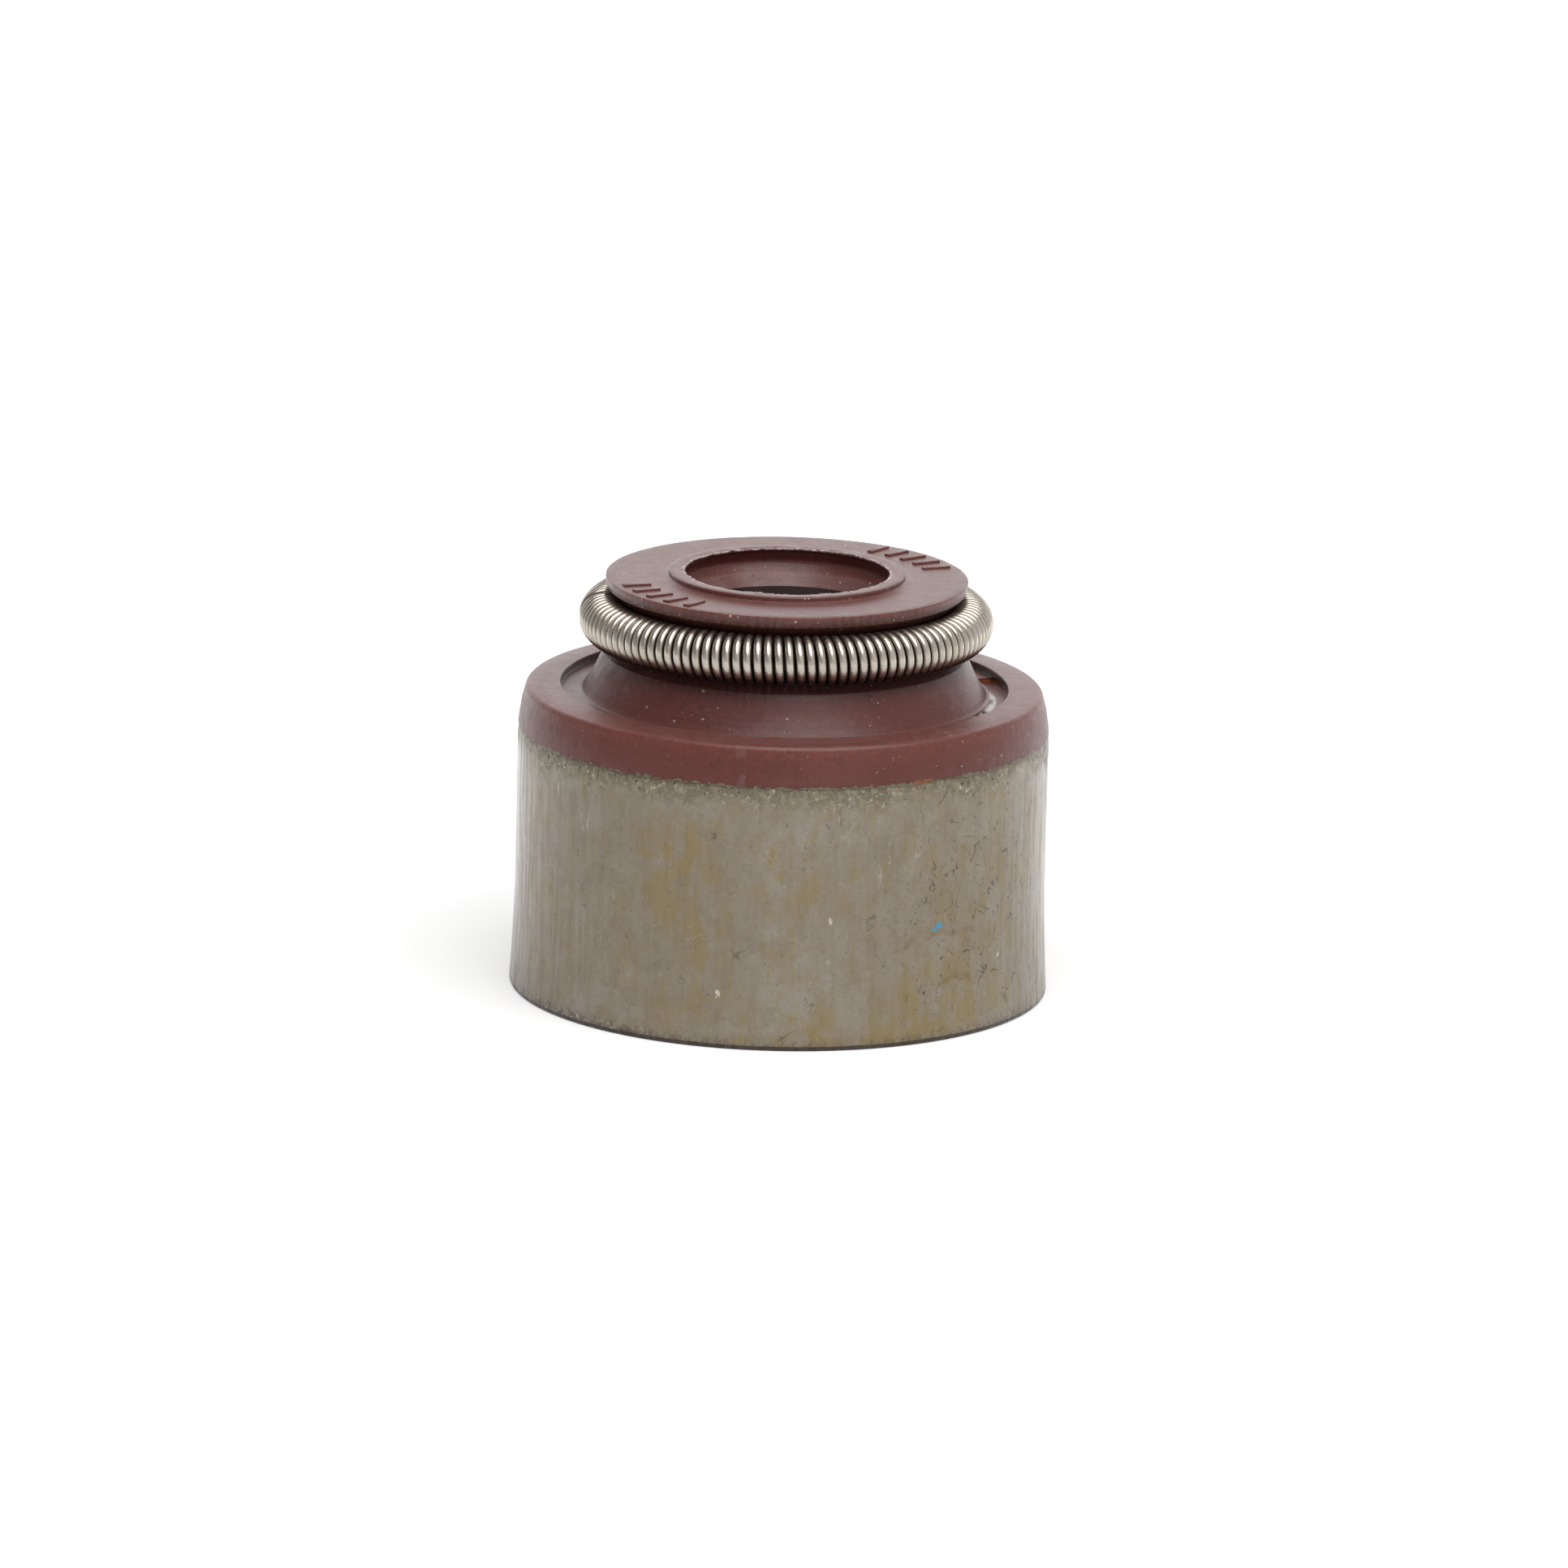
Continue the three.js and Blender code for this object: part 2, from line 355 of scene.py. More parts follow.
def topDisc(sizes):
    disc, bead = sizes["discRadius"], sizes["wiperRadius"] + sizes["beadWidth"]
    bottom, rise = discTop - sizes["discThickness"], sizes["beadHeight"]
    return [
        (disc - 0.13, bottom - 0.01),
        (disc - 0.075, bottom + 0.012),
        (disc - 0.045, bottom + 0.05),
        (disc - 0.01, bottom + 0.16),
        *arc(disc - 0.025, discTop - 0.025, 0.025, 5, 85, 3),
        (sizes["barOuter"], discTop + 0.004),
        (sizes["barInner"], discTop - 0.008),
        (bead + 0.36, discTop - 0.012),
        (bead + 0.17, discTop - 0.006),
        (bead + 0.06, discTop + 0.01),
        (bead + 0.012, discTop + 0.04),
        *arc(bead - 0.03, sealTop - 0.055, 0.035, 0, 75, 3),
        (bead - 0.14, sealTop - 0.015),
        (sizes["wiperRadius"] + 0.1, sealTop - 0.02),
        (sizes["wiperRadius"] + 0.05, sealTop - sizes["flash"]),
        (sizes["wiperRadius"] + 0.01, sealTop - sizes["flash"]),
        (sizes["wiperRadius"], sealTop - sizes["flash"] - 0.02),
    ]


def lipsAndCavity(sizes):
    wiper, lip, cut = sizes["wiperRadius"], sizes["lipRadius"], sizes["undercut"]
    lipEdge = sealTop - sizes["lipDrop"]
    cavity = barrel - shellSizes["flangeWidth"] - sizes["neckWall"]
    slope = lipEdge - (cavity - lip)
    return [
        (wiper + 0.012, sealTop - 0.08),
        (wiper + cut * 0.55, sealTop - 0.13),
        *arc(wiper, sealTop - 2 * cut, cut, 35, -42, 8),
        (wiper + 0.02, lipEdge + 0.37),
        (lip + 0.12, lipEdge + 0.17),
        (lip + 0.03, lipEdge + 0.045),
        (lip, lipEdge),
        (lip + 0.03, lipEdge - 0.04),
        *arc(cavity - 0.4, slope - 0.4 * math.tan(math.pi / 8), 0.4, 45, 0, 5),
        (cavity, sizes["guideStop"] + 0.08),
        (cavity + 0.08, sizes["guideStop"]),
        (sizes["liningRadius"], sizes["guideStop"]),
        *liningRibs(sizes),
        (sizes["liningRadius"], sizes["liningStart"] + 0.1),
        (sizes["liningRadius"] + 0.1, sizes["liningStart"]),
    ]


def sealSection(sizes):
    back, bond = barrel - shellSizes["wall"], sizes["bond"]
    hole = barrel - shellSizes["flangeWidth"] - bond
    start = sizes["liningStart"]
    heights = [start, (start + shellSizes["flareHeight"]) / 2, shellSizes["flareHeight"]]
    return [
        *[(back + flareAt(z, shellSizes) - bond, z) for z in heights],
        *arc(bendR, bendZ, shellSizes["bend"] - shellSizes["wall"] - bond, 0, 90, 6),
        (hole, shellTop - shellSizes["wall"] - bond),
        (hole, shellTop + bond),
        *outerCollar(sizes),
        *neckAndSeat(sizes),
        *topDisc(sizes),
        *lipsAndCavity(sizes),
    ]


def pressPocket(seal, sizes):
    # shallow pocket in the trough's floor, pushed down from the spun faces
    inner = barrel - sizes["rimWidth"] - 0.45
    outer = barrel - sizes["rimWidth"]

    def inPocket(face):
        r, z, around = polar(face.calc_center_median())
        level = abs(z - troughFloor) < 0.02 and face.normal.z > 0.6
        return level and inner < r < outer and sizes["pocketFrom"] < around < sizes["pocketTo"]

    bpy.ops.mesh.select_mode(type="FACE")
    pick(seal, "faces", inPocket)
    pull(0, -sizes["pocketDepth"])


def raiseBars(seal, sizes):
    # plain bars in two groups, each lifted from one column of the disc's faces
    column = 360 / sizes["steps"]
    middles = [
        group + (i - (sizes["barCount"] - 1) / 2) * sizes["barSpacing"]
        for group in (sizes["barCentre"], sizes["barCentre"] - 180)
        for i in range(sizes["barCount"])
    ]

    def inBar(face):
        r, z, around = polar(face.calc_center_median())
        onTop = face.normal.z > 0.9 and z > discTop - 0.1
        if not (onTop and sizes["barInner"] < r < sizes["barOuter"]):
            return False
        return any(abs(around - middle) < column for middle in middles)

    pick(seal, "faces", inBar)
    pull(0, sizes["barHeight"])
    bpy.ops.mesh.region_to_loop()
    bpy.ops.mesh.bevel(offset=sizes["barEdge"] * mm, segments=2, affect="EDGES")
    bpy.ops.mesh.select_mode(type="VERT")


def roughenEdges(seal, sizes):
    # trimmed lips and a collar that bleeds unevenly on to the steel
    start = shellTop - sizes["collarOverlap"]
    for vertex in seal.data.vertices:
        r, z, _ = polar(vertex.co)
        spot = vertex.co / mm
        outward = Vector((spot.x, spot.y, 0)).normalized()
        if z > sealTop - sizes["flash"] * 1.7 and r < sizes["wiperRadius"] + 0.06:
            ragged = noise.noise(spot * 2.5) * 0.5 + noise.noise(spot * 9) * 0.7
            vertex.co -= outward * ragged * sizes["flashNicks"] * mm
            raised = vertex.co.z + max(0, ragged) * sizes["flashRise"] * mm
            vertex.co.z = min(raised, sealTop * mm)
        elif r > sizes["discRadius"] - 0.05 and z > discTop - 0.1:
            vertex.co -= outward * abs(noise.noise(spot * 6)) * sizes["discNicks"] * mm
        elif r > barrel - 0.06 and z < start + 0.1:
            bleed = noise.noise(spot * 1.1) * sizes["bleedWaves"]
            bleed += noise.noise(spot * 4) * sizes["bleedCrumbs"]
            vertex.co.z += bleed * mm * max(0, 1 - abs(z - start) / 0.12)


def makeSeal(sizes):
    seal = spinRound(traceSection("rubberSeal", sealSection(sizes)), sizes["steps"])
    selectOnly(seal)
    setMode("EDIT")
    pressPocket(seal, sizes)
    raiseBars(seal, sizes)
    setMode("OBJECT")
    roughenEdges(seal, sizes)
    smooth(seal, 40)
    return seal


rubberSeal = makeSeal(sealSizes)
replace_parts(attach(rubberSeal, "root"), "rubber_seal")
print("rubber made")


# garter spring

springSizes = {
    "wire": 0.215,
    "turnGap": 0.035,
    "jointGap": 0.3,
    "jointAngle": 182,
    "lastTurnLift": 1.11,  # how much wider the last turn is than the others
    "wireSides": 10,
    "turnSteps": 32,
}


def windCoil(sizes):
    # a straight close-wound coil along X: one ring of wire, screwed round
    coil = sealSizes["coilRadius"] - sizes["wire"] / 2
    length = 2 * math.pi * springRadius - sizes["jointGap"]
    turns = int(length / (sizes["wire"] + sizes["turnGap"]))
    clearSelection()
    bpy.ops.mesh.primitive_circle_add(
        vertices=sizes["wireSides"], radius=sizes["wire"] / 2 * mm, rotation=(math.pi / 2, 0, 0)
    )
    wire = bpy.context.object
    wire.name = "garterSpring"
    bpy.ops.object.transform_apply(location=False, rotation=True, scale=False)
    setMode("EDIT")
    bpy.ops.transform.translate(value=(0, 0, coil * mm))
    setMode("OBJECT")
    screw = wire.modifiers.new("wind", "SCREW")
    screw.axis = "X"
    screw.angle = 2 * math.pi
    screw.screw_offset = length / turns * mm
    screw.iterations = turns
    screw.steps = screw.render_steps = sizes["turnSteps"]
    bpy.ops.object.modifier_apply(modifier=screw.name)
    setMode("EDIT")
    bpy.ops.mesh.select_mode(type="VERT")
    bpy.ops.mesh.select_all(action="DESELECT")
    bpy.ops.mesh.select_non_manifold()
    bpy.ops.mesh.edge_face_add()
    bpy.ops.mesh.select_all(action="SELECT")
    bpy.ops.mesh.normals_make_consistent(inside=False)
    bpy.ops.transform.translate(value=(-length / 2 * mm, 0, 0))
    return wire, turns


def standLastTurn(wire, turns, sizes):
    # the turn beside the joint stands proud of the others
    ends = [vertex.co.x for vertex in wire.data.vertices]
    first = max(ends) - (max(ends) - min(ends)) / turns * 1.05
    pick(wire, "verts", lambda vertex: vertex.co.x > first)
    lift = sizes["lastTurnLift"]
    bpy.ops.transform.resize(value=(1, lift, lift), center_override=(0, 0, 0))
    setMode("OBJECT")


def bendToRing(wire, sizes):
    xs = [vertex.co.x for vertex in wire.data.vertices]
    bend = wire.modifiers.new("ring", "SIMPLE_DEFORM")
    bend.deform_method = "BEND"
    bend.deform_axis = "Z"
    bend.angle = (max(xs) - min(xs)) / (springRadius * mm)
    bpy.ops.object.modifier_apply(modifier=bend.name)
    wire.location = (0, -springRadius * mm, springHeight * mm)
    bpy.ops.object.transform_apply(location=True, rotation=False, scale=False)
    wire.rotation_euler = (0, 0, math.radians(sizes["jointAngle"] - 90))
    bpy.ops.object.transform_apply(location=False, rotation=True, scale=False)


def makeSpring(sizes):
    wire, turns = windCoil(sizes)
    standLastTurn(wire, turns, sizes)
    bendToRing(wire, sizes)
    smooth(wire, 60)
    return wire


garterSpring = makeSpring(springSizes)
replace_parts(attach(garterSpring, "root"), "garter_spring")
print("garter spring made")


# helpers for materials


def addNode(tree, kind, inputs=None, **settings):
    node = tree.nodes.new(kind)
    for name, value in settings.items():
        setattr(node, name, value)
    plugAll(tree, node, inputs or {})
    return node


def plug(tree, socket, value):
    # links another node's output, or sets a number, a colour or a vector
    if isinstance(value, bpy.types.NodeSocket):
        tree.links.new(value, socket)
    elif isinstance(value, tuple) and len(socket.default_value) == 4 and len(value) == 3:
        socket.default_value = (*value, 1)
    else:
        socket.default_value = value


def plugAll(tree, node, values):
    for name, value in values.items():
        plug(tree, node.inputs[name], value)


def maths(tree, operation, *values, clamp=False):
    inputs = dict(enumerate(values))
    return addNode(tree, "ShaderNodeMath", inputs, operation=operation, use_clamp=clamp).outputs[0]


def distance(tree, across, up):
    squares = [maths(tree, "POWER", side, 2.0) for side in (across, up)]
    return maths(tree, "SQRT", maths(tree, "ADD", *squares))


def ramp(tree, value, low, high, fromValue=0.0, toValue=1.0):
    inputs = {0: value, 1: low, 2: high, 3: fromValue, 4: toValue}
    return addNode(tree, "ShaderNodeMapRange", inputs, interpolation_type="SMOOTHSTEP").outputs[0]


def multiply(tree, *values):
    result = values[0]
    for value in values[1:]:
        result = maths(tree, "MULTIPLY", result, value)
    return result


def layer(tree, under, over, mask, strength=1.0):
    # paints one colour over another where the mask is
    share = mask if strength == 1.0 else maths(tree, "MULTIPLY", mask, strength)
    node = addNode(tree, "ShaderNodeMix", {0: share}, data_type="RGBA")
    plug(tree, node.inputs[6], under)
    plug(tree, node.inputs[7], over)
    return node.outputs[2]


def paint(tree, colour, look, coats):
    # layers one after another, each a name in the look, a mask and a strength
    for name, mask, strength in coats:
        colour = layer(tree, colour, look[name], mask, strength)
    return colour


def grain(tree, spot, scale, detail=2.0, roughness=0.5, distortion=0.0):
    inputs = {
        "Vector": spot,
        "Scale": scale,
        "Detail": detail,
        "Roughness": roughness,
        "Distortion": distortion,
    }
    return addNode(tree, "ShaderNodeTexNoise", inputs).outputs[0]


def stretch(tree, spot, x, y, z):
    return addNode(tree, "ShaderNodeMapping", {"Vector": spot, "Scale": (x, y, z)}).outputs[0]


def startGroup(name, inputs, outputs):
    # a node group whose first input is the place in millimetres, and the others numbers
    tree = bpy.data.node_groups.new(name, "ShaderNodeTree")
    tree.interface.new_socket("Spot", in_out="INPUT", socket_type="NodeSocketVector")
    for label, value in inputs.items():
        socket = tree.interface.new_socket(label, in_out="INPUT", socket_type="NodeSocketFloat")
        socket.default_value = value
    for label in outputs:
        tree.interface.new_socket(label, in_out="OUTPUT", socket_type="NodeSocketFloat")
    given = tree.nodes.new("NodeGroupInput").outputs
    result = tree.nodes.new("NodeGroupOutput").inputs
    return tree, given, result


def useGroup(tree, group, spot, *values):
    node = tree.nodes.new("ShaderNodeGroup")
    node.node_tree = group
    for socket, value in zip(node.inputs, (spot, *values)):
        plug(tree, socket, value)
    return node.outputs


def makeSpecksGroup():
    # scattered round specks: a share of a Voronoi pattern's cells, each with a size of its own
    tree, given, result = startGroup(
        "scatteredSpecks", {"Per mm": 2.0, "Size": 0.1, "Share": 0.2}, ["Mask"]
    )
    wander = addNode(
        tree, "ShaderNodeTexNoise", {"Vector": given["Spot"], "Scale": 9.0, "Detail": 1.0}
    ).outputs[1]
    bent = addNode(
        tree, "ShaderNodeVectorMath", {0: wander, 1: (0.06, 0.06, 0.06), 2: given["Spot"]},
        operation="MULTIPLY_ADD",
    ).outputs[0]
    cells = addNode(tree, "ShaderNodeTexVoronoi", {"Vector": bent, "Scale": given["Per mm"]})
    draw = addNode(tree, "ShaderNodeSeparateColor", {0: cells.outputs["Color"]}).outputs
    chosen = maths(tree, "LESS_THAN", draw[0], given["Share"])
    reach = multiply(tree, given["Size"], maths(tree, "MULTIPLY_ADD", draw[1], 0.9, 0.35))
    away = maths(tree, "DIVIDE", cells.outputs["Distance"], given["Per mm"])
    near = maths(tree, "SUBTRACT", reach, away)
    plug(tree, result["Mask"], multiply(tree, chosen, ramp(tree, near, 0.0, 0.012)))
    return tree


def makePatchesGroup():
    # uneven patches at two sizes
    tree, given, result = startGroup(
        "unevenPatches", {"Per mm": 0.5, "Contrast": 1.0}, ["Patches", "Fine"]
    )
    broad = grain(tree, given["Spot"], given["Per mm"], 4.0, 0.6, 0.4)
    finer = grain(tree, given["Spot"], multiply(tree, given["Per mm"], 5.0), 5.0, 0.65)
    spread = multiply(tree, given["Contrast"], 2.0)
    for value, name in ((broad, "Patches"), (finer, "Fine")):
        centred = maths(tree, "SUBTRACT", value, 0.5)
        plug(tree, result[name], maths(tree, "MULTIPLY_ADD", centred, spread, 0.5, clamp=True))
    return tree


def makePlaceGroup():
    # distance from the seal's axis, height, and degrees round from +X
    tree, given, result = startGroup("placeRoundAxis", {}, ["Radius", "Height", "Degrees"])
    axes = addNode(tree, "ShaderNodeSeparateXYZ", {0: given["Spot"]}).outputs
    plug(tree, result["Radius"], distance(tree, axes[0], axes[1]))
    plug(tree, result["Height"], axes[2])
    turn = maths(tree, "ARCTAN2", axes[1], axes[0])
    plug(tree, result["Degrees"], maths(tree, "DEGREES", turn))
    return tree


def makeRingGroup():
    # a soft band round the axis, at a radius and a height
    tree, given, result = startGroup(
        "bandRoundAxis", {"Radius": 1.0, "Height": 1.0, "Width": 0.1}, ["Mask"]
    )
    place = useGroup(tree, placeGroup, given["Spot"])
    offR = maths(tree, "SUBTRACT", place["Radius"], given["Radius"])
    offZ = maths(tree, "SUBTRACT", place["Height"], given["Height"])
    away = maths(tree, "DIVIDE", distance(tree, offR, offZ), given["Width"])
    plug(tree, result["Mask"], ramp(tree, away, 1.0, 0.3))
    return tree


def makeSectorGroup():
    # a soft-edged sector round the axis, in degrees from +X
    tree, given, result = startGroup(
        "sectorRoundAxis", {"Middle": 0.0, "Half width": 10.0, "Softness": 3.0}, ["Mask"]
    )
    place = useGroup(tree, placeGroup, given["Spot"])
    off = maths(tree, "ABSOLUTE", maths(tree, "SUBTRACT", place["Degrees"], given["Middle"]))
    round360 = maths(tree, "MINIMUM", off, maths(tree, "SUBTRACT", 360.0, off))
    inside = maths(tree, "SUBTRACT", given["Half width"], round360)
    share = maths(tree, "DIVIDE", inside, given["Softness"])
    plug(tree, result["Mask"], ramp(tree, share, 0.0, 1.0))
    return tree


def makeHairlinesGroup():
    # short thin wandering lines, such as scratches
    tree, given, result = startGroup(
        "hairlines", {"Per mm": 1.0, "Thickness": 0.02, "Share": 0.4}, ["Mask"]
    )
    field = grain(tree, given["Spot"], given["Per mm"], 1.0, 0.4, 0.6)
    away = maths(tree, "ABSOLUTE", maths(tree, "SUBTRACT", field, 0.5))
    line = ramp(tree, away, given["Thickness"], 0.0)
    where = grain(tree, given["Spot"], multiply(tree, given["Per mm"], 1.7), 2.0)
    limit = maths(tree, "SUBTRACT", 0.75, given["Share"])
    kept = ramp(tree, maths(tree, "SUBTRACT", where, limit), 0.0, 0.08)
    plug(tree, result["Mask"], multiply(tree, line, kept))
    return tree


specksGroup = makeSpecksGroup()
patchesGroup = makePatchesGroup()
placeGroup = makePlaceGroup()
ringGroup = makeRingGroup()
sectorGroup = makeSectorGroup()
hairlinesGroup = makeHairlinesGroup()


def startMaterial(name, piece):
    # a material, and its place on the piece in millimetres
    material = bpy.data.materials.new(name)
    material.use_nodes = True
    tree = material.node_tree
    place = addNode(tree, "ShaderNodeTexCoord").outputs["Object"]
    spot = stretch(tree, place, 1 / mm, 1 / mm, 1 / mm)
    piece.data.materials.clear()
    piece.data.materials.append(material)
    return tree, tree.nodes["Principled BSDF"], spot


def ringMask(tree, spot, radius, height, width):
    return useGroup(tree, ringGroup, spot, radius, height, width)["Mask"]


def sectorMask(tree, spot, middle, halfWidth, softness):
    return useGroup(tree, sectorGroup, spot, middle, halfWidth, softness)["Mask"]


def lineMask(tree, spot, perMm, thickness, share):
    return useGroup(tree, hairlinesGroup, spot, perMm, thickness, share)["Mask"]


def markAt(tree, spot, degrees, height, halfWidth, halfHeight):
    # a soft oval at one place on the seal
    sector = sectorMask(tree, spot, degrees, halfWidth, halfWidth)
    level = useGroup(tree, placeGroup, spot)["Height"]
    off = maths(tree, "ABSOLUTE", maths(tree, "SUBTRACT", level, height))
    return multiply(tree, sector, ramp(tree, off, halfHeight, 0.0))


def specks(tree, spot, perMm, size, share):
    return useGroup(tree, specksGroup, spot, perMm, size, share)["Mask"]


def roughen(tree, shader, *heights):
    # bumps one after another, each a height with its depth in millimetres
    normal = None
    for height, depth in heights:
        inputs = {"Height": height, "Strength": 1.0, "Distance": depth * mm}
        node = addNode(tree, "ShaderNodeBump", inputs)
        if normal:
            plug(tree, node.inputs["Normal"], normal)
        normal = node.outputs[0]
    plug(tree, shader.inputs["Normal"], normal)


# steel finish

steelLook = {
    "base": (0.345, 0.283, 0.205),
    "light": (0.39, 0.34, 0.275),
    "dark": (0.265, 0.21, 0.14),
    "stain": (0.335, 0.25, 0.105),
    "rust": (0.36, 0.25, 0.05),
    "green": (0.345, 0.30, 0.205),
    "pit": (0.045, 0.035, 0.026),
    "chip": (0.78, 0.72, 0.60),
    "ink": (0.05, 0.42, 0.68),
    "tide": (0.25, 0.165, 0.06),
    # dark brown; also for a painted contact shadow along the mouth's bottom
    "edge": (0.05, 0.032, 0.025),
    "metallic": 0.3,
    "roughness": (0.38, 0.52),
    "specular": 0.3,
    "coatRoughness": 0.13,  # oil on the phosphate
    "rightSide": (-38.0, 34.0, 25.0),  # degrees, half width and softness of the pitted side
    "scuffedSide": (-140.0, 32.0, 20.0),
    "crust": (6.95, 7.6),  # heights between which the crust under the collar begins
    "specks": [(3.4, 0.034, 0.5), (1.9, 0.05, 0.35), (6.0, 0.022, 0.45)],
    "stains": [  # degrees, height, half width, half height, strength
        (-112, 4.4, 21, 3.0, 0.85),
        (-106, 2.2, 9, 2.6, 0.75),
        (-83, 4.4, 8, 1.2, 0.5),
        (-52, 1.0, 26, 2.0, 1.0),
        (-75, 0.3, 60, 1.3, 0.9),
        (-45, 3.4, 30, 2.2, 0.45),
        (-8, 3.5, 22, 4.5, 0.6),
        (-150, 2.0, 18, 2.5, 0.35),
    ],
    "rustSpots": [
        (-114.6, 5.12, 2.0, 0.32),
        (-90.2, 4.64, 1.5, 0.2),
        (-109, 5.5, 1.2, 0.7),
        (-92, 5.2, 2.4, 0.5),
    ],
    "chips": [(-79.0, 3.45, 0.55, 0.17), (-102.7, 1.44, 0.8, 0.17), (-35.3, 1.95, 0.7, 0.08)],
    "scratches": [(-136, 5.4, 0.3, 0.25), (-137.5, 5.25, 0.25, 0.15), (-146.4, 6.1, 0.4, 0.2)],
    "tideMarks": [(-52, 2.95, 15, 0.55), (-49, 1.75, 6, 0.5)],
    "inkSpots": [(-53.5, 3.1, 1.1, 0.11), (-54.7, 3.0, 0.9, 0.07)],
}


def steelClouds(tree, spot, look):
    # soft clouds of the phosphate, with stains that run down
    clouds = useGroup(tree, patchesGroup, spot, 0.5, 1.5)
    blots = useGroup(tree, patchesGroup, stretch(tree, spot, 1, 1, 0.85), 1.5, 1.5)
    run = useGroup(tree, patchesGroup, stretch(tree, spot, 1.2, 1.2, 0.8), 1.1, 2.0)
    mottle = grain(tree, spot, 9.0, 4.0, 0.7)
    colour = paint(tree, look["base"], look, [
        ("light", ramp(tree, clouds["Patches"], 0.4, 1.0), 0.9),
        ("dark", ramp(tree, blots["Patches"], 0.5, 1.0), 0.45),
        ("light", ramp(tree, blots["Patches"], 0.4, 0.0), 0.4),
        ("dark", ramp(tree, blots["Fine"], 0.55, 1.0), 0.4),
        ("light", ramp(tree, run["Fine"], 0.6, 1.0), 0.35),
        ("dark", ramp(tree, mottle, 0.5, 0.75), 0.45),
    ])
    for degrees, level, halfWidth, halfHeight, strength in look["stains"]:
        where = markAt(tree, spot, degrees, level, halfWidth, halfHeight)
        uneven = ramp(tree, run["Patches"], 0.05, 0.95)
        colour = layer(tree, colour, look["stain"], multiply(tree, where, uneven), strength)
    colour = layer(tree, colour, look["stain"], ramp(tree, run["Patches"], 0.62, 1.0), 0.4)
    return colour, clouds, blots


def tideMark(tree, spot, degrees, top, halfWidth, sag):
    # the thin arched edge of a dried stain
    place = useGroup(tree, placeGroup, spot)
    off = maths(tree, "DIVIDE", maths(tree, "SUBTRACT", place["Degrees"], degrees), halfWidth)
    arch = maths(tree, "MULTIPLY_ADD", maths(tree, "POWER", off, 2.0), -sag, top)
    wander = maths(tree, "MULTIPLY_ADD", grain(tree, spot, 1.4, 3.0), 0.6, -0.3)
    away = maths(tree, "SUBTRACT", maths(tree, "ADD", place["Height"], wander), arch)
    line = ramp(tree, maths(tree, "ABSOLUTE", away), 0.16, 0.0)
    faded = ramp(tree, grain(tree, spot, 2.2, 2.0), 0.35, 0.6)
    sector = sectorMask(tree, spot, degrees, halfWidth, halfWidth / 3)
    return multiply(tree, line, sector, faded)


def steelDamage(tree, spot, colour, blots, look):
    # tide marks, rust, pits, scratches, chips and the drop of ink
    for mark in look["tideMarks"]:
        colour = layer(tree, colour, look["tide"], tideMark(tree, spot, *mark), 0.6)
    for mark in look["rustSpots"]:
        where = multiply(tree, markAt(tree, spot, *mark), ramp(tree, blots["Fine"], 0.15, 0.6))
        colour = layer(tree, colour, look["rust"], where, 0.8)
    rightSide = sectorMask(tree, spot, *look["rightSide"])
    many = maths(tree, "MULTIPLY_ADD", rightSide, 0.6, 0.35)
    dirtAndShade = 0.0
    for perMm, size, share in look["specks"]:
        where = multiply(tree, many, specks(tree, spot, perMm, size, share))
        colour = layer(tree, colour, look["pit"], where, 0.85)
        dirtAndShade = maths(tree, "MAXIMUM", dirtAndShade, where)
    scuffs = lineMask(tree, stretch(tree, spot, 1, 1, 0.7), 2.4, 0.022, 0.27)
    colour = paint(tree, colour, look, [
        ("pit", multiply(tree, scuffs, rightSide), 0.75),
        ("pit", lineMask(tree, spot, 1.3, 0.008, 0.22), 0.5),
        ("chip", lineMask(tree, stretch(tree, spot, 1, 1, 0.4), 1.7, 0.006, 0.2), 0.35),
    ])
    uneven = ramp(tree, grain(tree, spot, 8.0, 2.0), 0.35, 0.55)
    for mark in look["chips"]:
        where = multiply(tree, markAt(tree, spot, *mark), uneven)
        colour = layer(tree, colour, look["chip"], ramp(tree, where, 0.1, 0.4), 0.95)
    for mark in look["scratches"]:
        colour = layer(tree, colour, look["chip"], markAt(tree, spot, *mark), 0.6)
    for mark in look["inkSpots"]:
        where = ramp(tree, markAt(tree, spot, *mark), 0.12, 0.3)
        colour = layer(tree, colour, look["ink"], where, 0.9)
    return colour, dirtAndShade


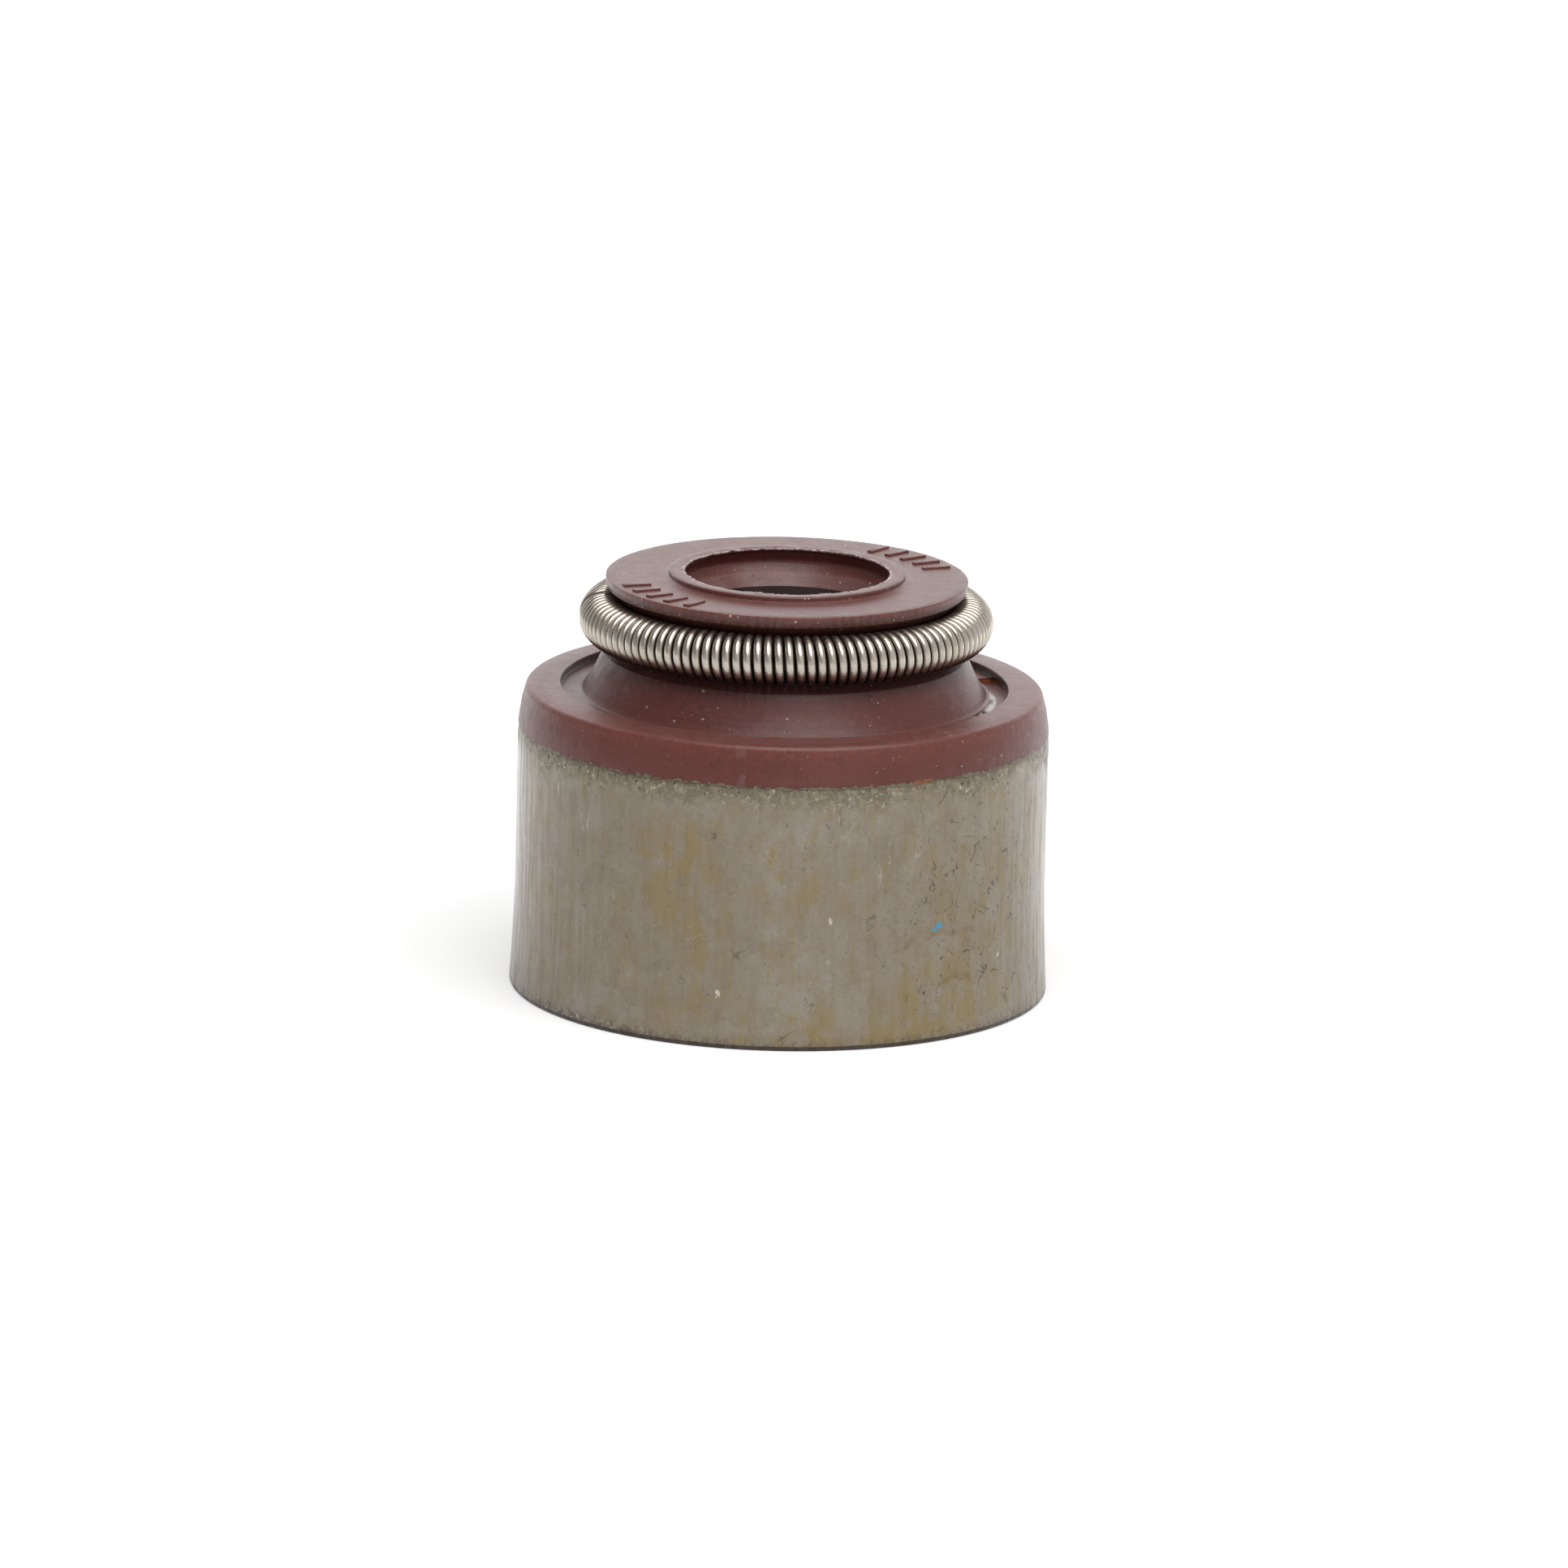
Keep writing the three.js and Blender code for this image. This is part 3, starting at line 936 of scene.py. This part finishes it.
def finishSteel(piece, look):
    tree, shader, spot = startMaterial("phosphatedSteel", piece)
    height = useGroup(tree, placeGroup, spot)["Height"]
    colour, clouds, blots = steelClouds(tree, spot, look)
    colour, dirtAndShade = steelDamage(tree, spot, colour, blots, look)
    wander = grain(tree, spot, 0.8, 2.0)
    under = ramp(tree, maths(tree, "MULTIPLY_ADD", wander, 1.5, height), *look["crust"])
    crust = ramp(tree, grain(tree, spot, 5.0, 5.0, 0.75), 0.46, 0.6)
    pale = multiply(tree, under, ramp(tree, blots["Fine"], 0.1, 0.5))
    crumbs = multiply(tree, under, specks(tree, spot, 6.0, 0.045, 0.6))
    flakes = ramp(tree, grain(tree, stretch(tree, spot, 1, 1, 1.3), 7.0, 3.0, 0.6), 0.58, 0.66)
    # darker towards the bottom of the mouth, in patches
    darkerNearMouth = multiply(tree, ramp(tree, height, 0.4, 0.08), ramp(tree, blots["Fine"], 0.3, 0.75))
    scuffed = multiply(
        tree, ramp(tree, height, 0.45, 0.15), sectorMask(tree, spot, *look["scuffedSide"])
    )
    colour = paint(tree, colour, look, [
        ("green", pale, 0.75),
        ("pit", multiply(tree, under, crust), 0.22),
        ("pit", crumbs, 0.65),
        ("chip", multiply(tree, under, flakes), 0.6),
        ("edge", darkerNearMouth, 0.45),
        ("edge", multiply(tree, scuffed, crust), 0.7),
        ("chip", multiply(tree, scuffed, flakes), 0.7),
        # painted contact shadow: a dark band along the bottom of the mouth
        ("edge", ramp(tree, height, 0.15, 0.11), 0.95),
    ])
    plugAll(tree, shader, {
        "Base Color": colour,
        "Metallic": look["metallic"],
        "Roughness": ramp(tree, clouds["Fine"], 0.0, 1.0, *look["roughness"]),
        "Specular IOR Level": look["specular"],
    })
    streaks = grain(tree, stretch(tree, spot, 6, 6, 0.4), 1.0, 4.0, 0.6)
    oily = multiply(
        tree, ramp(tree, streaks, 0.38, 0.58, 0.45, 1.0), ramp(tree, under, 0.0, 1.0, 1.0, 0.4),
        ramp(tree, maths(tree, "MAXIMUM", dirtAndShade, crumbs), 0.0, 1.0, 1.0, 0.25),
    )
    plugAll(tree, shader, {
        "Coat Weight": oily,
        "Coat Roughness": look["coatRoughness"],
    })
    drawn = grain(tree, stretch(tree, spot, 9, 9, 0.5), 1.0, 3.0)
    rough = multiply(tree, under, crust)
    roughen(tree, shader, (blots["Fine"], 0.008), (drawn, 0.007), (rough, 0.02))


# rubber finish

rubberLook = {
    "base": (0.156, 0.036, 0.027),
    "dull": (0.180, 0.050, 0.041),
    "deep": (0.085, 0.020, 0.016),
    # grey film colour; also painted sheen on upward faces and a painted highlight in the bore
    "filmAndSheen": (0.37, 0.265, 0.25),
    "dust": (0.66, 0.61, 0.57),
    "flash": (0.62, 0.49, 0.46),
    "red": (0.26, 0.06, 0.042),
    "pit": (0.012, 0.007, 0.006),
    # near-black, for painted shade under the spring and on the trough's wall
    "paintedShade": (0.02, 0.011, 0.009),
    # pale bare primer, made brighter as a painted reflection
    "primerAndSheen": (0.86, 0.80, 0.71),
    "amber": (0.34, 0.12, 0.035),
    "crust": (0.24, 0.215, 0.14),
    "pits": [(3.2, 0.036, 0.3), (5.5, 0.022, 0.35)],
    "rightPits": (2.6, 0.06, 0.5),
    "dusts": [(2.8, 0.034, 0.45), (5.0, 0.024, 0.5), (8.0, 0.017, 0.5)],
    "dots": [(-1.0, 3.0), (-14.5, 1.6)],  # degrees and half widths of the specks in the pocket
    "bandWidth": 0.22,
    "bandSpan": (-3.0, 22.0, 16.0),  # degrees, half width and softness
    "amberFrom": (15.0, 19.0),  # degrees
    "amberTo": (28.0, 24.0),
    "turnCount": 119,  # painted shade stripes of the spring's turns on the neck
    "turnShadeHeights": (8.55, 8.95),
    "mouldLine": -99.0,
    "notch": -58.5,
    "roughness": (0.40, 0.54),
    "specular": 0.35,
    "pittedSide": (-8.0, 30.0, 20.0),  # degrees, half width and softness
    "dustySide": (-38.0, 42.0, 20.0),
    "dustyRadii": (5.4, 5.0),  # where the dust on the neck begins
    "leftNeck": (180.0, 75.0, 30.0),
    "coatWeight": 0.58,
    "sideCoat": 0.75,  # share of it on the collar
    "neckCoat": 0.4,  # share of it on the neck's left side
    "coatRoughness": 0.3,
}


def rubberClouds(tree, spot, upward, look):
    # the moulded colour, with a painted grey sheen on what faces up
    clouds = useGroup(tree, patchesGroup, spot, 0.45, 1.4)
    blotchy = useGroup(tree, patchesGroup, spot, 1.4, 2.4)["Fine"]
    cloudy = ramp(tree, clouds["Fine"], 0.1, 0.9, 0.45, 1.0)
    colour = paint(tree, look["base"], look, [
        ("dull", clouds["Patches"], 0.8),
        ("deep", ramp(tree, clouds["Fine"], 0.55, 1.0), 0.3),
        ("red", ramp(tree, blotchy, 0.7, 1.0), 0.2),
        # painted sheen: the grey film colour laid on what faces up
        ("filmAndSheen", multiply(tree, ramp(tree, upward, 0.55, 0.95), cloudy), 0.16),
    ])
    return colour, clouds, blotchy


def rubberTrims(tree, spot, colour, blotchy, look):
    # edges: the disc's rim and side, the collar's shoulder, the bead and lip, and a painted
    # highlight in the bore
    ragged = ramp(tree, grain(tree, spot, 7.0, 3.0), 0.38, 0.6)
    middle = discTop - sealSizes["discThickness"] / 2
    side = ringMask(tree, spot, sealSizes["discRadius"], middle, 0.3)
    dark, pale = ramp(tree, blotchy, 0.3, 0.8), ramp(tree, blotchy, 0.7, 0.2)
    rim = ringMask(tree, spot, sealSizes["discRadius"], discTop - 0.01, 0.09)
    shoulder = ringMask(tree, spot, barrel - sealSizes["collarDraft"], troughFloor + 0.1, 0.4)
    bead = sealSizes["wiperRadius"] + sealSizes["beadWidth"]
    ledge = ringMask(tree, spot, bead, sealTop - 0.08, 0.12)
    lip = ringMask(tree, spot, sealSizes["wiperRadius"] + 0.015, sealTop, 0.1)
    crumbs = maths(
        tree, "MAXIMUM", multiply(tree, lip, specks(tree, spot, 6.0, 0.055, 0.8)),
        multiply(tree, side, specks(tree, spot, 4.0, 0.042, 0.45)),
    )
    bore = useGroup(tree, placeGroup, spot)["Radius"]
    inside = ramp(tree, bore, sealSizes["wiperRadius"] + 0.03, sealSizes["wiperRadius"] - 0.03)
    boreHighlight = ramp(tree, grain(tree, spot, 1.3, 1.0), 0.3, 0.65, 0.6, 1.0)
    return paint(tree, colour, look, [
        ("deep", multiply(tree, side, dark), 0.05),
        ("filmAndSheen", multiply(tree, side, pale), 0.14),
        ("red", multiply(tree, rim, ragged), 0.8),
        ("red", multiply(tree, shoulder, ramp(tree, blotchy, 0.1, 0.6)), 0.35),
        # painted shade on the bead's outer wall and at its foot, broken up by noise
        ("deep", multiply(tree, ledge, ragged), 0.5),
        ("flash", multiply(tree, ramp(tree, lip, 0.1, 0.7), ragged), 0.85),
        ("dust", crumbs, 0.9),
        # painted highlight in the bore, in the grey film colour
        ("filmAndSheen", multiply(tree, inside, boreHighlight), 0.3),
    ])


def rubberPocket(tree, spot, place, upward, colour, look):
    # a pale bare band round the neck's foot in the pocket, made brighter as a painted reflection,
    # and the amber wall at its end
    depth = sealSizes["pocketDepth"]
    wallRadius = barrel - sealSizes["rimWidth"]
    low = multiply(
        tree, ramp(tree, place["Height"], troughFloor - 0.02, troughFloor - 0.05),
        ramp(tree, place["Height"], troughFloor - depth - 0.06, troughFloor - depth - 0.02),
        ramp(tree, place["Radius"], wallRadius + 0.1, wallRadius + 0.02),
    )
    span = sectorMask(tree, spot, *look["bandSpan"])
    reach = maths(tree, "MULTIPLY", span, look["bandWidth"])
    foot = barrel - shellSizes["flangeWidth"] + sealSizes["neckStep"] + sealSizes["neckFlare"]
    inside = maths(tree, "SUBTRACT", maths(tree, "SUBTRACT", place["Radius"], reach), foot)
    low = multiply(tree, low, ramp(tree, place["Radius"], foot - 0.4, foot - 0.3))
    band = multiply(tree, low, ramp(tree, inside, 0.08, -0.04))
    wall = multiply(
        tree, low, ramp(tree, upward, 0.5, 0.2), ramp(tree, place["Degrees"], *look["amberFrom"]),
        ramp(tree, place["Degrees"], *look["amberTo"]), ramp(tree, inside, -0.1, 0.0),
    )
    # the pale band: bare primer, made brighter as a painted reflection
    colour = paint(tree, colour, look, [("primerAndSheen", band, 0.9), ("amber", wall, 1.0)])
    for degrees, halfWidth in look["dots"]:
        ring = ringMask(tree, spot, foot + 0.11, troughFloor - depth, 0.08)
        dot = multiply(tree, ring, sectorMask(tree, spot, degrees, halfWidth, 0.3))
        colour = layer(tree, colour, look["pit"], ramp(tree, dot, 0.05, 0.25))
    return colour, band


def rubberMarks(tree, spot, place, colour, look):
    # painted shade under the spring and on the trough's wall, and what is on the collar's side
    seat = ringMask(tree, spot, springRadius, springHeight, sealSizes["coilRadius"] * 2)
    wall = ringMask(tree, spot, barrel - sealSizes["rimWidth"], troughFloor + 0.04, 0.16)
    turns = maths(tree, "SINE", multiply(tree, place["Degrees"], math.radians(look["turnCount"])))
    shaded = multiply(
        tree, ramp(tree, turns, -0.2, 0.8), ramp(tree, place["Height"], *look["turnShadeHeights"]),
        ramp(tree, place["Radius"], springRadius - 0.3, springRadius),
        ramp(tree, grain(tree, spot, 1.2, 1.0), 0.4, 0.6),
    )
    onCollar = ramp(tree, place["Radius"], barrel - 0.3, barrel - 0.15)
    seam = sectorMask(tree, spot, look["mouldLine"], 1.5, 1.0)
    broken = ramp(tree, grain(tree, spot, 1.8, 2.0), 0.42, 0.6)
    start = shellTop - sealSizes["collarOverlap"]
    wander = maths(tree, "SUBTRACT", grain(tree, spot, 5.5, 3.0, 0.6), 0.5)
    level = maths(tree, "MULTIPLY_ADD", wander, 0.35, place["Height"])
    foot = multiply(tree, onCollar, ramp(tree, level, start + 0.12, start))
    crusted = multiply(tree, onCollar, ramp(tree, level, start + 0.045, start + 0.02))
    notch = multiply(
        tree, sectorMask(tree, spot, look["notch"], 3.0, 1.5),
        ramp(tree, level, start + 0.12, start + 0.05), onCollar,
    )
    return paint(tree, colour, look, [
        # near-black painted shade under the spring and on the trough's wall
        ("paintedShade", seat, 0.9),
        ("paintedShade", wall, 0.75),
        # painted shade: dark stripes of the spring's turns on the neck's top
        ("deep", shaded, 0.55),
        ("filmAndSheen", multiply(tree, seam, onCollar, broken), 0.2),
        ("deep", foot, 0.3),
        ("crust", crusted, 0.85),
        ("amber", notch, 0.9),
    ])


def finishRubber(piece, look):
    tree, shader, spot = startMaterial("moulding", piece)
    place = useGroup(tree, placeGroup, spot)
    facing = addNode(tree, "ShaderNodeNewGeometry").outputs["Normal"]
    upward = addNode(tree, "ShaderNodeSeparateXYZ", {0: facing}).outputs[2]
    colour, clouds, blotchy = rubberClouds(tree, spot, upward, look)
    colour = rubberTrims(tree, spot, colour, blotchy, look)
    colour, band = rubberPocket(tree, spot, place, upward, colour, look)
    colour = rubberMarks(tree, spot, place, colour, look)
    clusters = ramp(tree, grain(tree, spot, 0.7, 1.0), 0.35, 0.6, 0.35, 1.0)
    for perMm, size, share in look["pits"]:
        colour = layer(tree, colour, look["pit"], specks(tree, spot, perMm, size, share), 0.75)
    dusty = sectorMask(tree, spot, *look["dustySide"])
    dusty = maths(tree, "MAXIMUM", dusty, ramp(tree, place["Radius"], *look["dustyRadii"]))
    dusty = ramp(tree, dusty, 0.0, 1.0, 0.25, 1.0)
    for perMm, size, share in look["dusts"]:
        where = multiply(tree, clusters, dusty, specks(tree, spot, perMm, size, share))
        colour = layer(tree, colour, look["dust"], where, 0.9)
    rightSide = sectorMask(tree, spot, *look["pittedSide"])
    where = multiply(tree, rightSide, specks(tree, spot, *look["rightPits"]))
    colour = layer(tree, colour, look["pit"], where, 0.9)
    dullness = ramp(tree, clouds["Fine"], 0.0, 1.0, *look["roughness"])
    plugAll(tree, shader, {
        "Roughness": maths(tree, "MULTIPLY_ADD", band, -0.25, dullness),
        "Specular IOR Level": look["specular"],
    })
    onSide = ramp(tree, place["Radius"], barrel - 0.3, barrel - 0.1, 1.0, look["sideCoat"])
    leftNeck = multiply(
        tree, sectorMask(tree, spot, *look["leftNeck"]),
        ramp(tree, place["Height"], troughFloor + 0.03, troughFloor + 0.2),
        ramp(tree, place["Height"], springHeight - 0.2, springHeight - 0.4),
        ramp(tree, place["Radius"], barrel - 1.4, barrel - 1.6),
    )
    onNeck = ramp(tree, leftNeck, 0.0, 1.0, 1.0, look["neckCoat"])
    oily = multiply(tree, look["coatWeight"], onSide, onNeck)
    plugAll(tree, shader, {
        "Coat Weight": oily,
        "Coat Roughness": look["coatRoughness"],
    })
    turned = addNode(tree, "ShaderNodeCombineXYZ", {
        0: place["Radius"], 1: place["Height"], 2: multiply(tree, place["Degrees"], 0.004),
    }).outputs[0]
    rings = grain(tree, turned, 9.0, 2.0)
    level = ramp(tree, upward, 0.2, 0.7, 0.15, 1.0)
    grooves = multiply(tree, level, ramp(tree, rings, 0.52, 0.7))
    colour = layer(tree, colour, look["deep"], grooves, 0.3)
    plug(tree, shader.inputs["Base Color"], colour)
    turnedRings = multiply(tree, level, rings)
    roughen(tree, shader, (clouds["Fine"], 0.012), (turnedRings, 0.014), (blotchy, 0.006))


# spring finish

springLook = {
    "wire": (0.71, 0.655, 0.585),
    "dull": (0.53, 0.465, 0.38),
    "brown": (0.30, 0.215, 0.14),
    # near-black, for painted shade between the turns and under the spring
    "dirtAndShade": (0.05, 0.038, 0.028),
    "roughness": (0.24, 0.36),
    "shadeDepth": 0.085,  # how deep between the turns the painted shade begins
}


def finishSpring(piece, look):
    tree, shader, spot = startMaterial("springSteel", piece)
    place = useGroup(tree, placeGroup, spot)
    clouds = useGroup(tree, patchesGroup, spot, 1.3, 1.4)
    offR = maths(tree, "SUBTRACT", place["Radius"], springRadius)
    offZ = maths(tree, "SUBTRACT", place["Height"], springHeight)
    depth = maths(tree, "SUBTRACT", sealSizes["coilRadius"], distance(tree, offR, offZ))
    fringe = ramp(tree, depth, look["shadeDepth"] * 0.2, look["shadeDepth"] * 0.7)
    shadeBetweenTurns = ramp(tree, depth, look["shadeDepth"] * 0.6, look["shadeDepth"] * 1.1)
    cloudy = ramp(tree, clouds["Fine"], 0.0, 0.4, 0.6, 1.0)
    colour = paint(tree, look["wire"], look, [
        ("dull", clouds["Patches"], 0.6),
        # painted shade between the turns: brown at its edge, near-black deeper
        ("brown", fringe, 0.5),
        ("dirtAndShade", shadeBetweenTurns, 0.9),
        # painted shade on the spring's underside
        ("dirtAndShade", multiply(tree, ramp(tree, offZ, -0.22, -0.5), cloudy), 0.95),
    ])
    plugAll(tree, shader, {
        "Base Color": colour,
        "Metallic": 1.0,
    })
    shine = ramp(tree, clouds["Fine"], 0.0, 1.0, *look["roughness"])
    plug(tree, shader.inputs["Roughness"], maths(tree, "MULTIPLY_ADD", shadeBetweenTurns, 0.3, shine))
    drawn = grain(tree, spot, 14.0, 2.0)
    roughen(tree, shader, (drawn, 0.002))


finishSteel(steelShell, steelLook)
finishRubber(rubberSeal, rubberLook)
finishSpring(garterSpring, springLook)
print("finishes made")


# table and light

studio = {
    "floorSize": 1.2,
    "floorColour": (0.8, 0.8, 0.8),
    "floorRoughness": 0.8,
    "floorSpecular": 0.2,
    "nearLift": 0.46,  # added for the camera and in reflections, so that the table is white
    "farLift": 0.85,
    "frontShare": 0.3,  # share of that in reflections of the table in front
    "frontEdge": (-5, 15),  # millimetres, front to back
    "farEdge": (10, 60),
    "keyPower": 0.25,
    "keySize": 0.2,
    "keyPlace": (0.025, -0.065, 0.17),
    "fill": 0.28,  # light of the room on dull surfaces
    "roomBehind": 1.3,  # what glossy surfaces see of the room
    "roomLeft": 0.3,
    "roomRight": 0.6,
    "roomHigh": 0.5,  # share of that seen high above the table
}


def makeFloor(values):
    clearSelection()
    bpy.ops.mesh.primitive_plane_add(size=values["floorSize"])
    floor = bpy.context.object
    floor.name = "table"
    tree, shader, spot = startMaterial("whiteTable", floor)
    plugAll(tree, shader, {
        "Base Color": values["floorColour"],
        "Roughness": values["floorRoughness"],
        "Specular IOR Level": values["floorSpecular"],
    })
    path = addNode(tree, "ShaderNodeLightPath").outputs
    mirrored = maths(tree, "MAXIMUM", path["Is Glossy Ray"], path["Is Transmission Ray"])
    depth = addNode(tree, "ShaderNodeSeparateXYZ", {0: spot}).outputs[1]
    behind = ramp(tree, depth, *values["frontEdge"], values["frontShare"], 1.0)
    seen = maths(tree, "MAXIMUM", path["Is Camera Ray"], multiply(tree, mirrored, behind))
    away = addNode(tree, "ShaderNodeVectorMath", {0: spot}, operation="LENGTH").outputs["Value"]
    openTable = ramp(tree, away, *values["farEdge"], values["nearLift"], values["farLift"])
    lift = maths(tree, "MULTIPLY", seen, openTable)
    glow = addNode(tree, "ShaderNodeEmission", {"Color": (1, 1, 1, 1), "Strength": lift})
    both = addNode(tree, "ShaderNodeAddShader", {0: shader.outputs[0], 1: glow.outputs[0]})
    plug(tree, tree.nodes["Material Output"].inputs["Surface"], both.outputs[0])


def addLamp(name, place, size, power):
    clearSelection()
    bpy.ops.object.light_add(type="AREA", location=place)
    lamp = bpy.context.object
    lamp.name = name
    lamp.data.shape = "DISK"
    lamp.data.size = size
    lamp.data.energy = power
    target = Vector((0, 0, 0.006))
    lamp.rotation_euler = (target - Vector(place)).to_track_quat("-Z", "Y").to_euler()


def makeRoom(values):
    # bright behind the seal, dim at the sides and high up, and plain white to the camera
    world = bpy.data.worlds.new("studio")
    bpy.context.scene.world = world
    world.use_nodes = True
    tree = world.node_tree
    tree.nodes.clear()
    seen = addNode(tree, "ShaderNodeLightPath").outputs
    way = addNode(tree, "ShaderNodeTexCoord").outputs["Generated"]
    axes = addNode(tree, "ShaderNodeSeparateXYZ", {0: way}).outputs
    sides = ramp(tree, axes[0], -0.5, 0.5, values["roomLeft"], values["roomRight"])
    around = ramp(tree, axes[1], 0.5, 0.92, sides, values["roomBehind"])
    shine = multiply(tree, around, ramp(tree, axes[2], 0.3, 0.65, 1.0, values["roomHigh"]))
    plain, mirror, soft = [
        addNode(tree, "ShaderNodeBackground", {"Color": (1, 1, 1), "Strength": level}).outputs[0]
        for level in (1.0, shine, values["fill"])
    ]
    glossy = maths(tree, "MAXIMUM", seen["Is Glossy Ray"], seen["Is Transmission Ray"])
    lower = addNode(tree, "ShaderNodeMixShader", {0: glossy, 1: soft, 2: mirror}).outputs[0]
    whole = addNode(tree, "ShaderNodeMixShader", {0: seen["Is Camera Ray"], 1: lower, 2: plain})
    output = addNode(tree, "ShaderNodeOutputWorld")
    plug(tree, output.inputs["Surface"], whole.outputs[0])


makeFloor(studio)
addLamp("overheadSoftbox", studio["keyPlace"], studio["keySize"], studio["keyPower"])
makeRoom(studio)
bpy.context.scene.view_settings.view_transform = "Standard"
print("studio set")
